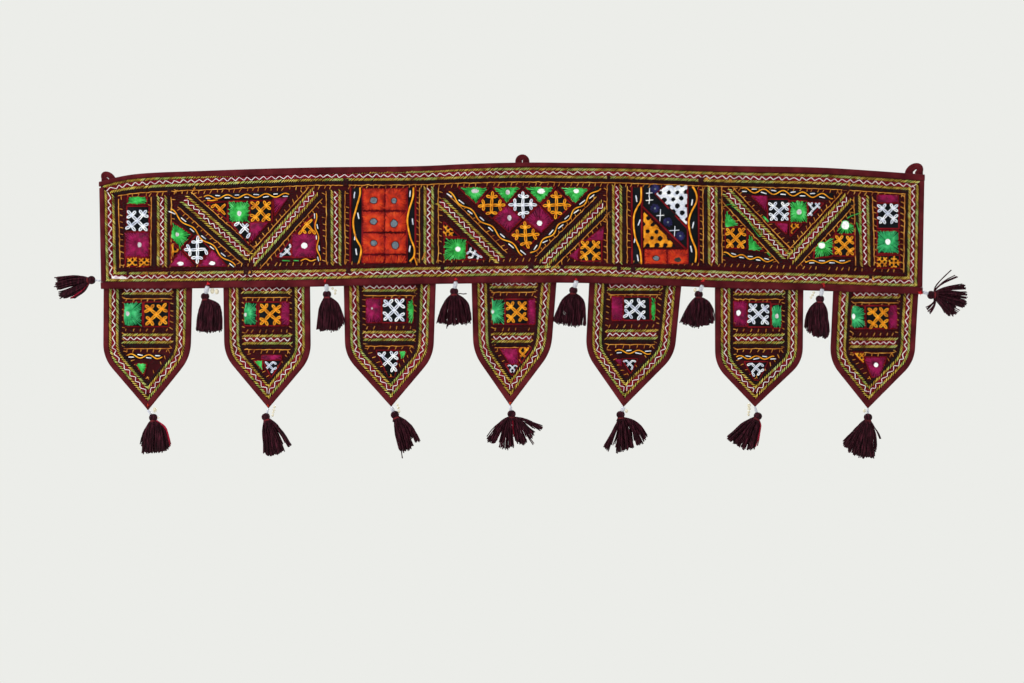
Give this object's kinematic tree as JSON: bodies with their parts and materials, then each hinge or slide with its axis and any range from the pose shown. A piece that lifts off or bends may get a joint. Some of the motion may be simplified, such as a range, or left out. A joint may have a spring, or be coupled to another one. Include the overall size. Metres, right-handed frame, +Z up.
{
  "type": "toran door hanging",
  "caption": "Embroidered patchwork door valance: a long bound band with hanging loops, pointed flags sewn below it, and beaded yarn tassels.",
  "frame": {"origin": "middle of the band's top edge, halfway through the cloth", "axes": "+X along the band to the viewer's right, +Y from the embroidered face towards the wall, +Z up"},
  "size_m": [1.0902, 0.0386, 0.3617],
  "materials": {
    "patchwork": "plain-woven dark cotton patches",
    "embroidery": "glossy twisted silk thread",
    "binding": "plain-woven maroon cotton",
    "yarn": "soft twisted wool yarn",
    "bead": "cloudy white, glossy",
    "mirror_disc": "small silvered glass discs"
  },
  "bodies": {
    "root": {"band_patchwork": "patchwork", "band_binding_top": "binding", "band_binding_foot": "binding", "band_binding_left": "binding", "band_binding_right": "binding", "flag_1_patchwork": "patchwork", "flag_1_binding": "binding", "flag_2_patchwork": "patchwork", "flag_2_binding": "binding", "flag_3_patchwork": "patchwork", "flag_3_binding": "binding", "flag_4_patchwork": "patchwork", "flag_4_binding": "binding", "flag_5_patchwork": "patchwork", "flag_5_binding": "binding", "flag_6_patchwork": "patchwork", "flag_6_binding": "binding", "flag_7_patchwork": "patchwork", "flag_7_binding": "binding", "loop_left": "binding", "loop_middle": "binding", "loop_right": "binding", "bead_flag_1": "bead", "tassel_flag_1": "yarn", "bead_flag_2": "bead", "tassel_flag_2": "yarn", "bead_flag_3": "bead", "tassel_flag_3": "yarn", "bead_flag_4": "bead", "tassel_flag_4": "yarn", "bead_flag_5": "bead", "tassel_flag_5": "yarn", "bead_flag_6": "bead", "tassel_flag_6": "yarn", "bead_flag_7": "bead", "tassel_flag_7": "yarn", "bead_gap_1": "bead", "tassel_gap_1": "yarn", "bead_gap_2": "bead", "tassel_gap_2": "yarn", "bead_gap_3": "bead", "tassel_gap_3": "yarn", "bead_gap_4": "bead", "tassel_gap_4": "yarn", "bead_gap_5": "bead", "tassel_gap_5": "yarn", "bead_gap_6": "bead", "tassel_gap_6": "yarn", "bead_left_end": "bead", "tassel_left_end": "yarn", "bead_right_end": "bead", "tassel_right_end": "yarn"}
  },
  "joints": []
}
